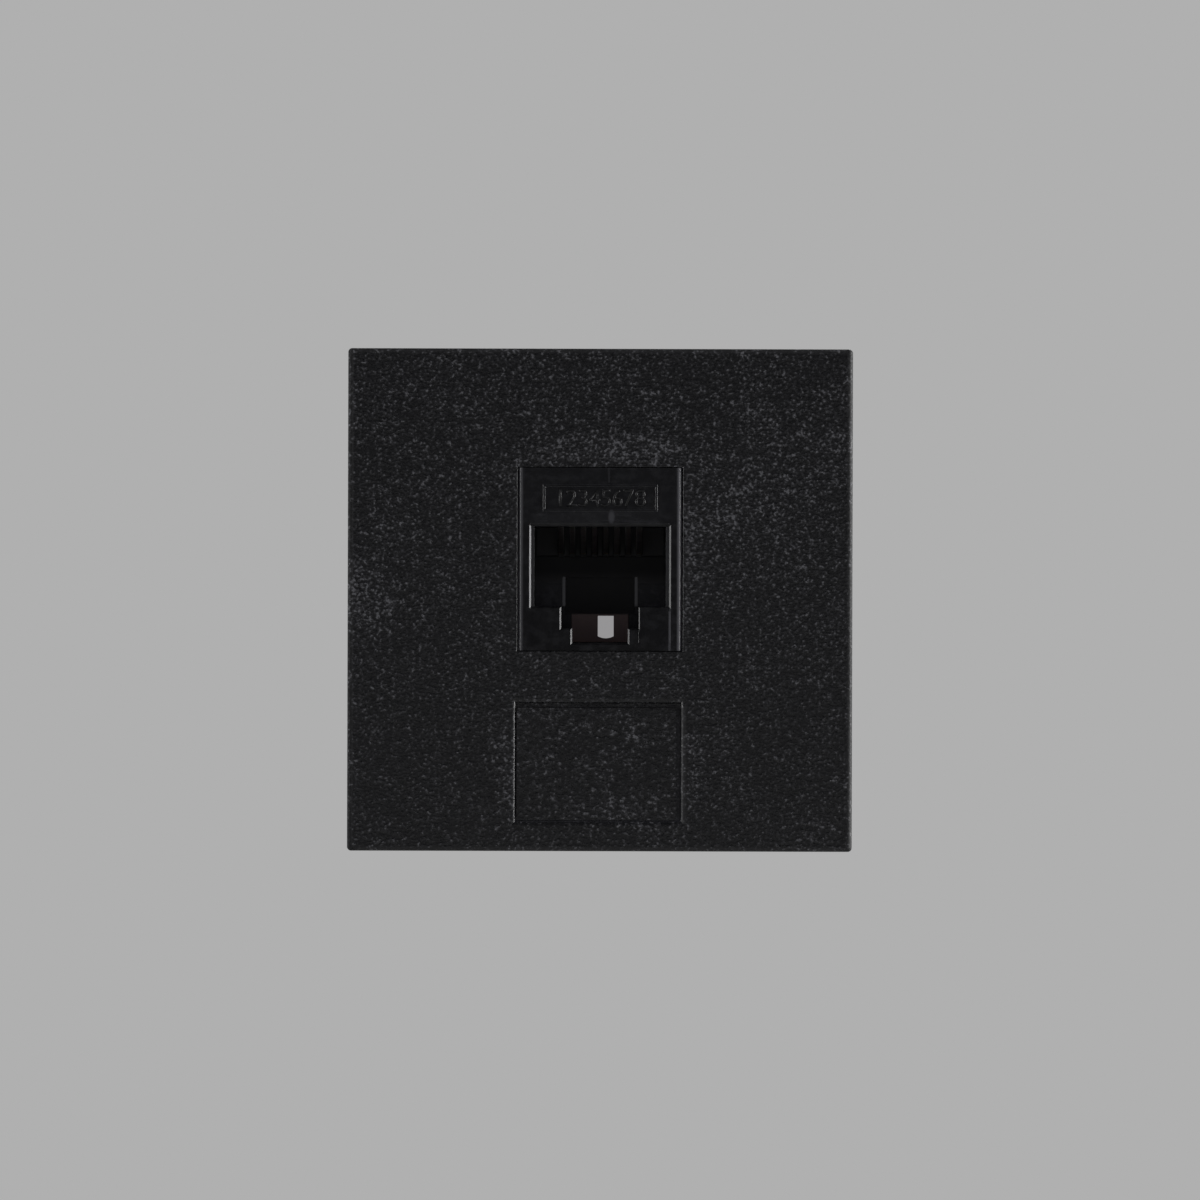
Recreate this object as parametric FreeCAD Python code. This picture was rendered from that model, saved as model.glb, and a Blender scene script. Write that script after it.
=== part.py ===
# Ethernet socket module: a square snap-in faceplate that carries one keystone jack and a blank label.
# Lengths are in millimetres. X points right, Z up, and the front faces -Y.
# The origin is the middle of the seat, the ring behind the bezel that lies on the mounting frame.
# The jack's own pieces are drawn with y counted back from the jack's face and z from its middle,
# and are moved to their place in the faceplate at the end.
import FreeCAD, Part
import math
import os
from FreeCAD import Vector

# Faceplate
plate_width = 45.0
plate_height = 44.8
plate_corner_radius = 0.36
plate_edge_radius = 0.38
plate_wall = 2.0
bezel_depth = 5.5
seat_width_sides = 0.6
seat_width_ends = 1.5
skirt_depth = 8.5
skirt_wall = 1.4
skirt_corner_radius = 1.5
skirt_lead = 0.5
rib_thickness = 0.9
rib_height = 2.4
rib_spacing = 13.0

# Snap tongues on the top and bottom of the skirt
tongue_width = 8.0
tongue_slit = 0.9
tongue_spacing = 24.0
tongue_root = 1.2
frame_sheet = 2.2
catch_height = 1.0
catch_land = 0.6
catch_length = 4.0

# Keystone port in the faceplate
port_rise = 3.64
port_gap = 0.04
port_edge_radius = 0.1
collar_wall = 1.3
collar_gap = 0.4
ledge_setback = 8.2
ledge_thickness = 1.6

# Label window over the faceplate's lower edge, and its insert
label_margin = 2.725
label_width = 14.15
label_height = 9.95
label_thickness = 0.4
label_recess = 0.08
label_gap = 0.1
label_play = 0.3
window_shift = -0.13
window_edge_radius = 0.42
leg_thickness = 0.9
leg_width = 4.0
leg_inset = 1.5
leg_catch = 0.45
leg_catch_length = 0.9

# Plug socket, stacked upwards from the jack's underside
jack_proud = 0.03
jack_edge_radius = 0.52
bottom_wall = 0.67
lever_slot_height = 1.32
lever_slot_width = 4.95
latch_slot_height = 1.92
latch_slot_width = 6.9
socket_height = 7.15
socket_width = 11.75
top_bar = 5.24
side_wall = 1.45
front_wall = 2.0
plug_depth = 12.4
back_wall = 1.2
mouth_ledge_width = 0.28
mouth_ledge_depth = 0.6
mouth_ledge_slope = 0.07
mouth_chamfer = 0.15
mouth_top_chamfer = 0.3
mould_step = 0.05
mould_step_slope = 0.12
nose_window_width = 6.32
nose_window_rise = 2.71
nose_window_drop = 0.69
nose_window_depth = 0.8
nose_bevel_width = 0.29
nose_bevel_depth = 0.085
peep_wall = 0.7
peep_wall_width = 5.2
peep_pocket_depth = 0.45
peep_width = 1.45
peep_height = 2.06
peep_sag = 0.19
peep_rise = 0.33
peep_offset = 0.53

# Raised outline of the marking field on the jack's face
field_width = 10.2
field_height = 2.4
field_line = 0.2
field_rise = 0.08
field_edge = 0.02
field_margin = 1.5

# Hook under the jack and latch arm on top of it
catch_gap = 0.1
hook_inset = 0.2
hook_stand = 1.1
hook_lip = 0.9
lip_length = 1.4
arm_inset = 2.45
arm_stand = 1.7
arm_thickness = 0.75
arm_foot = 1.8
tooth_height = 0.8
tooth_length = 1.0
tooth_ramp = 1.9
stop_height = 1.3
stop_length = 1.3
tab_length = 3.4
tab_rise = 0.7
tab_ridges = 3
ridge_width = 0.6
ridge_height = 0.25

# Spring contacts and their carrier
contact_count = 8
contact_pitch = 1.02
contact_width = 0.46
contact_thickness = 0.34
contact_bend = 0.7
contact_nose = 4.2
contact_droop = 2.15
contact_tip = 1.3
contact_gap = 0.08
carrier_rail = 0.4
carrier_thickness = 2.45
carrier_front = 3.0
carrier_slot = 3.4
groove_depth = 1.0
relief_depth = 0.65
comb_depth = 2.5
fit_gap = 0.05

# Rear sleeve of the housing and the board
sleeve_length = 3.9
sleeve_wall = 1.1
sleeve_floor = 0.8
tail_setback = 1.3
tail_row_pitch = 1.4
tail_stub = 0.8
tail_hole_gap = 0.1
board_thickness = 1.5
board_rise = 0.6
board_gap = 0.2

# Terminal block, its terminals and the wire caps
idc_per_row = 4
idc_pitch = 3.4
row_spacing = 11.8
tower_width = 3.4
tower_height = 5.3
tower_bevel = 0.8
block_height = 8.3
valley_depth = 1.0
wire_slot = 1.0
wire_slot_depth = 4.1
blade_width = 2.3
blade_thickness = 0.45
blade_slit = 0.36
blade_slit_depth = 3.2
blade_mouth = 0.5
blade_setback = 0.9
blade_gap = 0.08
pin_width = 0.6
pin_hole_gap = 0.1
arm_block = 1.6
arm_block_height = 5.6
bump_height = 0.6
bump_length = 1.8
bump_width = 2.4
bump_gap = 0.1
cap_wall = 0.8
cap_top = 1.0
cap_gap = 0.15
cap_notch = 1.3
cap_notch_height = 3.0
cap_edge_radius = 0.3
pusher_width = 0.7
pusher_length = 2.3
cover_wall = 1.1
cover_ledge = 0.7
cover_rear_wall = 1.0
cover_notch_width = 2.8
rear_bevel = 0.6
rear_corner_radius = 0.6

# Straps of the base cover that snap over bumps on the terminal block
strap_width = 4.4
strap_height = 4.8
strap_thickness = 0.8
strap_window_width = 2.4
strap_window_height = 1.7
strap_rim = 0.9
strap_gap = 0.1

# Faceplate planes and outlines
face_y = -bezel_depth
wall_back = face_y + plate_wall
jack_y = face_y - jack_proud
skirt_width = plate_width - 2 * seat_width_sides
skirt_height = plate_height - 2 * seat_width_ends
hollow_width = skirt_width - 2 * skirt_wall
hollow_height = skirt_height - 2 * skirt_wall

# Jack levels, counted from the middle of its face
jack_width = socket_width + 2 * side_wall
jack_height = bottom_wall + lever_slot_height + latch_slot_height + socket_height + top_bar
jack_top = jack_height / 2
jack_bottom = -jack_top
lever_floor = jack_bottom + bottom_wall
latch_floor = lever_floor + lever_slot_height
socket_floor = latch_floor + latch_slot_height
socket_ceiling = socket_floor + socket_height
mouth_width = socket_width + 2 * mouth_ledge_width
body_depth = plug_depth + back_wall

# Where the jack meets the ledges of the collar
port_width = jack_width + 2 * port_gap
port_height = jack_height + 2 * port_gap
notch_front = ledge_setback - catch_gap
notch_rear = ledge_setback + ledge_thickness + catch_gap
hook_floor = jack_bottom - hook_stand
hook_tip = hook_floor - hook_lip
arm_floor = jack_top + arm_stand
tooth_tip = arm_floor + tooth_height
ledge_low = hook_floor - catch_gap
ledge_high = arm_floor + catch_gap
collar_low = hook_tip - collar_gap
collar_high = tooth_tip + collar_gap

# Label window
window_width = label_width + 2 * label_gap + label_play
window_height = label_height + 2 * label_gap + label_play
window_z = label_margin + (window_height - plate_height) / 2
window_depth = label_thickness + label_recess
label_x = window_shift - label_play / 2
label_z = window_z - label_play / 2
leg_x = label_width / 2 - leg_inset

# Rear of the jack
rear_width = row_spacing + tower_width + 2 * (cap_gap + cap_wall)
sleeve_start = notch_rear + lip_length
sleeve_end = body_depth + sleeve_length
sleeve_inner = rear_width / 2 - sleeve_wall
carrier_top = socket_ceiling + fit_gap + carrier_thickness
sleeve_ceiling = carrier_top + fit_gap
board_bottom = socket_floor + board_rise
board_top = board_bottom + board_thickness
board_width = rear_width - 2 * (cover_wall + board_gap)
block_front = sleeve_end + fit_gap
end_land = cap_wall + cap_gap
block_length = idc_per_row * idc_pitch + 2 * end_land
block_rear = block_front + block_length
deck = board_top + block_height
tower_top = deck + tower_height
contact_run = carrier_top - groove_depth + contact_thickness / 2 + contact_gap
arm_outer = sleeve_inner - fit_gap
window_level = board_top + arm_block_height / 2

# Shared tolerance for finding an edge by its place
TOUCH = 1e-4


def box(x, y, z):
    """Block between two limits on each axis."""
    size = (x[1] - x[0], y[1] - y[0], z[1] - z[0])
    return Part.makeBox(*size, Vector(x[0], y[0], z[0]))


def around(middle, width):
    """Limits of a width about a middle."""
    return (middle - width / 2, middle + width / 2)


def face_of(corners):
    """Flat face inside a closed outline."""
    return Part.Face(Part.makePolygon(corners + corners[:1]))


def prism_x(points, x):
    """Outline in (y, z) carried along X between two limits."""
    face = face_of([Vector(x[0], py, pz) for py, pz in points])
    return face.extrude(Vector(x[1] - x[0], 0, 0))


def prism_y(points, y):
    """Outline in (x, z) carried along Y between two limits."""
    face = face_of([Vector(px, y[0], pz) for px, pz in points])
    return face.extrude(Vector(0, y[1] - y[0], 0))


def prism_z(points, z):
    """Outline in (x, y) carried along Z between two limits."""
    face = face_of([Vector(px, py, z[0]) for px, py in points])
    return face.extrude(Vector(0, 0, z[1] - z[0]))


def mirrored(points):
    """Outline with its first coordinate turned round."""
    return [(-first, second) for first, second in points]


def rounded_block(width, height, radius, y, z=0.0):
    """Upright block with its four edges along Y rounded."""
    block = box(around(0, width), y, around(z, height))
    upright = [edge for edge in block.Edges if edge.BoundBox.XLength + edge.BoundBox.ZLength < TOUCH]
    return block.makeFillet(radius, upright)


def edges_in_plane(shape, y, width, z):
    """Edges in the plane at y that stay within a width and between two heights."""
    found = []
    for edge in shape.Edges:
        limits = edge.BoundBox
        flat = abs(limits.YMin - y) < TOUCH and abs(limits.YMax - y) < TOUCH
        within = max(limits.XMax, -limits.XMin) < width / 2 + TOUCH
        if flat and within and z[0] - TOUCH < limits.ZMin and limits.ZMax < z[1] + TOUCH:
            found.append(edge)
    return found


def contact_x(index):
    """Place of a contact across the jack, counted from the left."""
    return (index - (contact_count - 1) / 2) * contact_pitch


def tail_y(index):
    """Depth of a contact's tail: the tails stand in two staggered rows."""
    return body_depth + tail_setback + (index % 2) * tail_row_pitch


def idc_y(index):
    """Depth of a wire slot along its row."""
    return block_front + end_land + (index + 0.5) * idc_pitch


def rear_outline(low, high):
    """Outline of the jack's rear, as (x, z) corners, with its lower edges bevelled."""
    reach = rear_width / 2
    half = [(reach, high), (reach, low + rear_bevel), (reach - rear_bevel, low)]
    return half + mirrored(half[::-1])


def round_rear_corners(shape):
    """Rounds the two upright edges at the jack's rear end."""
    found = []
    for edge in shape.Edges:
        limits = edge.BoundBox
        upright = limits.XLength < TOUCH and limits.YLength < TOUCH
        outside = abs(abs(limits.XMin) - rear_width / 2) < TOUCH
        if upright and outside and abs(limits.YMin - block_rear) < TOUCH:
            found.append(edge)
    return shape.makeFillet(rear_corner_radius, found)


def strap_window():
    """Limits along Y and Z of the window in a strap."""
    middle = (block_front + block_rear) / 2
    high = board_top + strap_height - strap_rim
    return around(middle, strap_window_width), (high - strap_window_height, high)


def strap_recesses():
    """Recesses in the terminal block's sides that take the straps of the base cover."""
    reach = rear_width / 2
    floor = reach - strap_thickness - fit_gap
    y = around((block_front + block_rear) / 2, strap_width + 2 * strap_gap)
    z = (board_top, board_top + strap_height + strap_gap)
    return [box(sorted((side * floor, side * reach)), y, z) for side in (-1, 1)]


def strap_bumps():
    """Wedges in the recesses that fill the windows of the straps."""
    floor = rear_width / 2 - strap_thickness - fit_gap
    window_y, window_z = strap_window()
    y = (window_y[0] + strap_gap, window_y[1] - strap_gap)
    low = window_z[0] + strap_gap
    high = window_z[1] - strap_gap
    outline = [(floor, low), (floor + strap_thickness, high), (floor, high)]
    return [prism_y([(side * x, z) for x, z in outline], y) for side in (-1, 1)]


def straps():
    """Straps that stand up from the base cover's sides."""
    reach = rear_width / 2
    y = around((block_front + block_rear) / 2, strap_width)
    window_y, window_z = strap_window()
    found = []
    for side in (-1, 1):
        x = sorted((side * (reach - strap_thickness), side * reach))
        strap = box(x, y, (board_top, board_top + strap_height))
        found.append(strap.cut(box(x, window_y, window_z)))
    return found


def collar():
    """Walls behind the port, with the two ledges that the jack's catches hold."""
    y = (wall_back, jack_y + ledge_setback + ledge_thickness)
    z = (port_rise + collar_low - collar_wall, port_rise + collar_high + collar_wall)
    outer = box(around(0, port_width + 2 * collar_wall), y, z)
    inner_z = (port_rise + collar_low, port_rise + collar_high)
    inner = box(around(0, port_width), (wall_back, jack_y + ledge_setback), inner_z)
    throat_z = (port_rise + ledge_low, port_rise + ledge_high)
    throat = box(around(0, port_width), y, throat_z)
    return outer.cut([inner, throat])


def ribs():
    """Stiffening ribs between the collar and the sides of the skirt."""
    found = []
    inner = port_width / 2 + collar_wall
    outer = hollow_width / 2
    y = (wall_back, wall_back + rib_height)
    for side in (-1, 1):
        x = sorted((side * inner, side * outer))
        for level in around(port_rise, rib_spacing):
            found.append(box(x, y, around(level, rib_thickness)))
    return found


def tongue_slits():
    """Slits that free the snap tongues from the skirt."""
    found = []
    y = (tongue_root, skirt_depth)
    reach = skirt_height / 2
    for side in (-1, 1):
        z = sorted((side * (reach - skirt_wall), side * reach))
        for middle in around(0, tongue_spacing):
            for edge in around(middle, tongue_width + tongue_slit):
                found.append(box(around(edge, tongue_slit), y, z))
    return found


def tongue_catches():
    """Wedges on the tongues that snap behind the mounting frame."""
    base = skirt_height / 2
    tip = base + catch_height
    ramp_end = frame_sheet + catch_length
    outline = [(frame_sheet, base), (frame_sheet, tip), (frame_sheet + catch_land, tip), (ramp_end, base)]
    found = []
    for side in (-1, 1):
        for middle in around(0, tongue_spacing):
            points = [(y, side * z) for y, z in outline]
            found.append(prism_x(points, around(middle, tongue_width)))
    return found


def leg_slots():
    """Openings in the window's floor for the legs of the label insert."""
    found = []
    y = (face_y + window_depth, wall_back)
    z = around(label_z, leg_width + 2 * label_gap)
    for side in (-1, 1):
        inner = label_x + side * (leg_x - label_gap)
        outer = label_x + side * (leg_x + leg_thickness + leg_catch + label_gap)
        found.append(box(sorted((inner, outer)), y, z))
    return found


def front_plate():
    """Faceplate moulding: bezel, skirt with snap tongues, keystone collar and label window."""
    bezel = rounded_block(plate_width, plate_height, plate_corner_radius, (face_y, 0))
    rim = edges_in_plane(bezel, face_y, plate_width, around(0, plate_height))
    bezel = bezel.makeFillet(plate_edge_radius, rim)
    skirt = rounded_block(skirt_width, skirt_height, skirt_corner_radius, (0, skirt_depth))
    lead = edges_in_plane(skirt, skirt_depth, skirt_width, around(0, skirt_height))
    skirt = skirt.makeChamfer(skirt_lead, lead)
    hollow = rounded_block(hollow_width, hollow_height, skirt_corner_radius, (wall_back, skirt_depth))
    body = bezel.fuse(skirt).cut(hollow)
    body = body.fuse([collar()] + ribs())
    port_z = around(port_rise, port_height)
    window_z_limits = around(window_z, window_height)
    port = box(around(0, port_width), (face_y, wall_back), port_z)
    window_x = around(window_shift, window_width)
    window = box(window_x, (face_y, face_y + window_depth), window_z_limits)
    body = body.cut([port, window] + leg_slots() + tongue_slits())
    body = body.fuse(tongue_catches()).removeSplitter()
    body = body.makeFillet(port_edge_radius, edges_in_plane(body, face_y, port_width, port_z))
    reach = window_width + 2 * abs(window_shift)
    return body.makeFillet(window_edge_radius, edges_in_plane(body, face_y, reach, window_z_limits))


def label_insert():
    """Blank label plate with two snap legs, lying to the lower left of its window."""
    front = face_y + label_recess
    back = face_y + window_depth
    plate = box(around(label_x, label_width), (front, back), around(label_z, label_height))
    catch_front = wall_back + label_gap
    tip = catch_front + leg_catch_length
    legs = []
    for side in (-1, 1):
        outline = [(leg_x, back), (leg_x, tip), (leg_x + leg_thickness, tip)]
        outline += [(leg_x + leg_thickness + leg_catch, catch_front), (leg_x + leg_thickness, catch_front)]
        outline += [(leg_x + leg_thickness, back)]
        points = [(label_x + side * x, y) for x, y in outline]
        legs.append(prism_z(points, around(label_z, leg_width)))
    return plate.fuse(legs).removeSplitter()


def mouth_outline():
    """Stepped opening for the plug and its latch, as (x, z) corners."""
    half = [(socket_width / 2, socket_ceiling), (socket_width / 2, socket_floor)]
    half += [(latch_slot_width / 2, socket_floor), (latch_slot_width / 2, latch_floor)]
    half += [(lever_slot_width / 2, latch_floor), (lever_slot_width / 2, lever_floor)]
    return half + mirrored(half[::-1])


def hook():
    """Fixed hook under the jack: a front lip, and a rear lip wide enough to close the throat behind it."""
    lip = [(notch_front - lip_length, jack_bottom), (notch_front - lip_length, hook_floor)]
    lip += [(notch_front - lip_length / 2, hook_tip), (notch_front, hook_tip), (notch_front, hook_floor)]
    lip += [(notch_rear, hook_floor), (notch_rear, jack_bottom)]
    stop_top = jack_bottom + rear_bevel
    stop = [(notch_rear, stop_top), (notch_rear, hook_tip), (notch_rear + lip_length / 2, hook_tip)]
    stop += [(notch_rear + lip_length, hook_floor), (notch_rear + lip_length, stop_top)]
    return [prism_x(lip, around(0, jack_width - 2 * hook_inset)), prism_x(stop, around(0, rear_width))]


def ridge_points(tab_start):
    """Corners of the grip ridges along the top of the finger tab, as (y, z)."""
    points = []
    for index in range(tab_ridges):
        middle = (index + 1) * tab_length / (tab_ridges + 1)
        for along, lift in ((-ridge_width / 2, 0), (0, ridge_height), (ridge_width / 2, 0)):
            rise = (middle + along) / tab_length * tab_rise
            points.append((tab_start + middle + along, arm_floor + rise + lift))
    return points


def latch_arm():
    """Flexing arm on top of the jack, with a tooth, a stop and a finger tab."""
    root = plate_wall + jack_proud + port_gap
    under = arm_floor - arm_thickness
    tooth_start = notch_front - tooth_length
    stop_end = notch_rear + stop_length
    tab_end = stop_end + tab_length
    outline = [(root, jack_top), (root + arm_foot / 2, jack_top + arm_thickness)]
    outline += [(tooth_start - tooth_ramp, arm_floor), (tooth_start, tooth_tip), (notch_front, tooth_tip)]
    outline += [(notch_front, arm_floor), (notch_rear, arm_floor), (notch_rear, arm_floor + stop_height)]
    outline += [(stop_end, arm_floor + stop_height), (stop_end, arm_floor)]
    outline += ridge_points(stop_end) + [(tab_end, arm_floor + tab_rise)]
    outline += [(tab_end, under + tab_rise), (stop_end, under), (notch_front, under)]
    outline += [(root + arm_foot, jack_top)]
    return prism_x(outline, around(0, jack_width - 2 * arm_inset))


def peep_slot():
    """See-through slot with a bowed lower end in the thin wall behind the latch slot."""
    low = lever_floor + peep_rise
    left, right = around(peep_offset, peep_width)
    front = body_depth - peep_wall
    bow_start = Vector(left, front, low + peep_sag)
    bow_end = Vector(right, front, low + peep_sag)
    bow = Part.Arc(bow_start, Vector(peep_offset, front, low), bow_end).toShape()
    top_right = Vector(right, front, low + peep_height)
    top_left = Vector(left, front, low + peep_height)
    sides = Part.makePolygon([bow_end, top_right, top_left, bow_start])
    return Part.Face(Part.Wire([bow] + sides.Edges)).extrude(Vector(0, peep_wall, 0))


def peep_pockets():
    """Shallow pockets in the thin wall on both sides of its middle."""
    y = (body_depth - peep_wall, body_depth - peep_wall + peep_pocket_depth)
    z = (latch_floor, socket_floor - nose_window_drop)
    inner = peep_wall_width / 2
    outer = latch_slot_width / 2
    return [box((-outer, -inner), y, z), box((inner, outer), y, z)]


def nose_window():
    """Window in the back wall for the plug's nose, with a bevel along its upright edges."""
    y = (plug_depth, plug_depth + nose_window_depth)
    high = socket_floor + nose_window_rise
    half = nose_window_width / 2
    found = [box((-half, half), y, (socket_floor - nose_window_drop, high))]
    bevel = [(half, y[0]), (half + nose_bevel_width, y[0]), (half, y[0] + nose_bevel_depth)]
    for points in (bevel, mirrored(bevel)):
        found.append(prism_z(points, (socket_floor, high)))
    return found


def mouth_sides():
    """Wider front end of the socket, down to a sloping ledge in each side wall."""
    half = [(mouth_width / 2, 0), (mouth_width / 2, mouth_ledge_depth)]
    half += [(socket_width / 2, mouth_ledge_depth + mouth_ledge_slope)]
    return prism_z(half + mirrored(half[::-1]), (socket_floor, socket_ceiling))


def jack_cavities():
    """Everything that is hollow in the jack's housing, apart from its mouth."""
    carrier_width = socket_width + 2 * (carrier_rail + fit_gap)
    comb_floor = socket_ceiling - comb_depth - fit_gap
    channel = (front_wall, body_depth - peep_wall)
    found = [box(around(0, socket_width), (0, plug_depth), (socket_floor, socket_ceiling))]
    found.append(box(around(0, latch_slot_width), channel, (lever_floor, socket_floor)))
    carrier_y = (carrier_front - fit_gap, body_depth)
    found.append(box(around(0, carrier_width), carrier_y, (socket_ceiling, sleeve_ceiling)))
    found.append(box(around(0, socket_width), (plug_depth, body_depth), (comb_floor, socket_ceiling)))
    found += nose_window() + peep_pockets()
    sleeve_z = (jack_bottom + sleeve_floor, sleeve_ceiling)
    found.append(box((-sleeve_inner, sleeve_inner), (body_depth, sleeve_end), sleeve_z))
    return found


def snap_windows():
    """Windows in the sleeve's sides for the bumps of the terminal block."""
    y = around(body_depth + sleeve_length / 2, bump_length + 2 * bump_gap)
    z = around(window_level, bump_width + 2 * bump_gap)
    reach = rear_width / 2
    return [box((-reach, -sleeve_inner), y, z), box((sleeve_inner, reach), y, z)]


def marking_field():
    """Raised outline on the face above the socket, with bevelled edges."""
    y = (-field_rise, 0)
    level = jack_top - field_margin - field_height / 2
    outer = box(around(0, field_width), y, around(level, field_height))
    inner = box(around(0, field_width - 2 * field_line), y, around(level, field_height - 2 * field_line))
    outline = outer.cut(inner)
    rim = edges_in_plane(outline, -field_rise, field_width, around(level, field_height))
    return outline.makeChamfer(field_edge, rim)


def jack_housing():
    """Front housing of the jack: face, plug socket, hook, latch arm and rear sleeve."""
    front = box(around(0, jack_width), (0, body_depth), (jack_bottom, jack_top))
    rim = edges_in_plane(front, 0, jack_width, (jack_bottom, jack_top))
    upright = [edge for edge in rim if edge.BoundBox.XLength < TOUCH]
    front = front.makeFillet(jack_edge_radius, upright)
    sleeve_z = (jack_bottom, sleeve_ceiling + sleeve_wall)
    sleeve = prism_y(rear_outline(*sleeve_z), (sleeve_start, sleeve_end))
    body = front.fuse([sleeve, latch_arm()] + hook())
    mouth = prism_y(mouth_outline(), (0, front_wall))
    cuts = [mouth, mouth_sides(), peep_slot()] + jack_cavities() + snap_windows()
    body = body.cut(cuts).removeSplitter()
    lips = edges_in_plane(body, 0, mouth_width, (lever_floor, socket_ceiling))
    body = body.makeChamfer(mouth_chamfer, lips)
    lead = [(0, socket_ceiling), (0, socket_ceiling + mouth_top_chamfer), (mouth_top_chamfer, socket_ceiling)]
    step_end = mouth_width / 2 + mouth_chamfer
    step = [(latch_slot_width / 2, 0), (step_end, 0), (step_end - mould_step_slope, mould_step)]
    step += [(latch_slot_width / 2, mould_step)]
    body = body.cut([prism_x(lead, around(0, mouth_width)), prism_z(step, (lever_floor, socket_floor))])
    return body.fuse(marking_field())


def contact_carrier():
    """Comb that guides the spring contacts: a slab over the socket and a leg behind it."""
    slab_low = socket_ceiling + fit_gap
    slab_x = around(0, socket_width + 2 * carrier_rail)
    slab = box(slab_x, (carrier_front, body_depth), (slab_low, carrier_top))
    leg_z = (socket_ceiling - comb_depth, slab_low)
    leg = box(around(0, socket_width - 2 * fit_gap), (plug_depth + fit_gap, body_depth), leg_z)
    body = slab.fuse(leg)
    slot_front = contact_nose - contact_thickness / 2 - contact_gap
    slot_end = slot_front + carrier_slot
    slots = []
    for index in range(contact_count):
        x = around(contact_x(index), contact_width + 2 * contact_gap)
        slots.append(box(x, (slot_front, body_depth), (carrier_top - groove_depth, carrier_top)))
        slots.append(box(x, (slot_front, slot_end), (slab_low, carrier_top)))
        slots.append(box(x, (slot_end, body_depth), (slab_low, slab_low + relief_depth)))
        slots.append(box(x, (plug_depth, body_depth), (contact_tip_level() - contact_floor(), slab_low)))
    return body.cut(slots).removeSplitter()


def contact_floor():
    """From a contact's middle line to the floor of the slot that it rests in."""
    return contact_thickness / 2 + contact_gap


def contact_tip_level():
    """Height of a contact's free end, which hangs into the socket."""
    return socket_ceiling - contact_droop


def rounded_path(points, radius):
    """Straight runs in the YZ plane at x = 0, joined by tangent arcs."""
    knots = [Vector(0, y, z) for y, z in points]
    edges = []
    start = knots[0]
    for before, corner, after in zip(knots, knots[1:], knots[2:]):
        into = (corner - before).normalize()
        out = (after - corner).normalize()
        turn = into.getAngle(out)
        reach = radius * math.tan(turn / 2)
        middle = (out - into).normalize() * (radius / math.cos(turn / 2) - radius)
        arc_start = corner - into * reach
        arc_end = corner + out * reach
        edges.append(Part.LineSegment(start, arc_start).toShape())
        edges.append(Part.Arc(arc_start, corner + middle, arc_end).toShape())
        start = arc_end
    edges.append(Part.LineSegment(start, knots[-1]).toShape())
    return Part.Wire(edges)


def spring_contact(index):
    """Bent strip: tail folded down through the board, run over the carrier, nose, and the sprung finger."""
    level = contact_tip_level()
    tip_start = plug_depth - contact_tip / 2
    fold = Vector(0, tail_y(index), contact_run)
    tail = Part.LineSegment(Vector(0, tail_y(index), board_bottom - tail_stub), fold).toShape()
    points = [(tail_y(index), contact_run), (contact_nose, contact_run)]
    points += [(contact_nose, contact_run - 2 * contact_bend)]
    points += [(tip_start, level), (tip_start + contact_tip, level)]
    path = Part.Wire([tail] + rounded_path(points, contact_bend).Edges)
    outline = path.makeOffset2D(contact_thickness / 2, 2, False, False, False)
    strip = Part.Face(outline).extrude(Vector(contact_width, 0, 0))
    strip.translate(Vector(contact_x(index) - contact_width / 2, 0, 0))
    return strip


def circuit_board():
    """Board with holes for the contacts' tails and the terminals' pins."""
    rear = block_rear - cover_rear_wall - board_gap
    z = (board_bottom, board_top)
    board = box(around(0, board_width), (body_depth + board_gap, rear), z)
    tail_radius = math.hypot(contact_width, contact_thickness) / 2 + tail_hole_gap
    pin_radius = math.hypot(pin_width, blade_thickness) / 2 + pin_hole_gap
    places = [(contact_x(index), tail_y(index), tail_radius) for index in range(contact_count)]
    for side in (-1, 1):
        places += [(side * row_spacing / 2, idc_y(index), pin_radius) for index in range(idc_per_row)]
    holes = [Part.makeCylinder(radius, board_thickness, Vector(x, y, z[0])) for x, y, radius in places]
    return board.cut(holes)


def block_section():
    """Cross-section of the terminal block: deck, two rows of towers and the valley between them."""
    inner = (row_spacing - tower_width) / 2
    outer = (row_spacing + tower_width) / 2
    shoulder = tower_top - tower_bevel
    valley = inner - cap_gap - cap_wall
    half = [(rear_width / 2, board_top + fit_gap), (rear_width / 2, deck)]
    half += [(outer, deck), (outer, shoulder)]
    half += [(outer - tower_bevel, tower_top), (inner + tower_bevel, tower_top), (inner, shoulder)]
    half += [(inner, deck), (valley, deck), (valley - valley_depth, deck - valley_depth)]
    return half + mirrored(half[::-1])


def tower_cuts():
    """Wire slots across the towers, their funnel mouths, and the pockets that hold the blades."""
    found = []
    slot_floor = tower_top - wire_slot_depth
    funnel = wire_slot / 2 + tower_bevel
    for side in (-1, 1):
        x = around(side * row_spacing / 2, tower_width)
        pocket_x = around(side * row_spacing / 2, blade_thickness + 2 * blade_gap)
        for index in range(idc_per_row):
            y = idc_y(index)
            outline = [(y - wire_slot / 2, slot_floor), (y - wire_slot / 2, tower_top - tower_bevel)]
            outline += [(y - funnel, tower_top), (y + funnel, tower_top)]
            outline += [(y + wire_slot / 2, tower_top - tower_bevel), (y + wire_slot / 2, slot_floor)]
            found.append(prism_x(outline, x))
            pocket_y = around(y, blade_width + 2 * blade_gap)
            found.append(box(pocket_x, pocket_y, (board_top, tower_top)))
    return found


def end_cuts():
    """Room for the caps' end walls in front of and behind the towers."""
    x = (-rear_width / 2, rear_width / 2)
    front = box(x, (block_front, block_front + end_land), (deck, tower_top))
    rear = box(x, (block_rear - end_land, block_rear), (deck, tower_top))
    return [front, rear]


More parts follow.
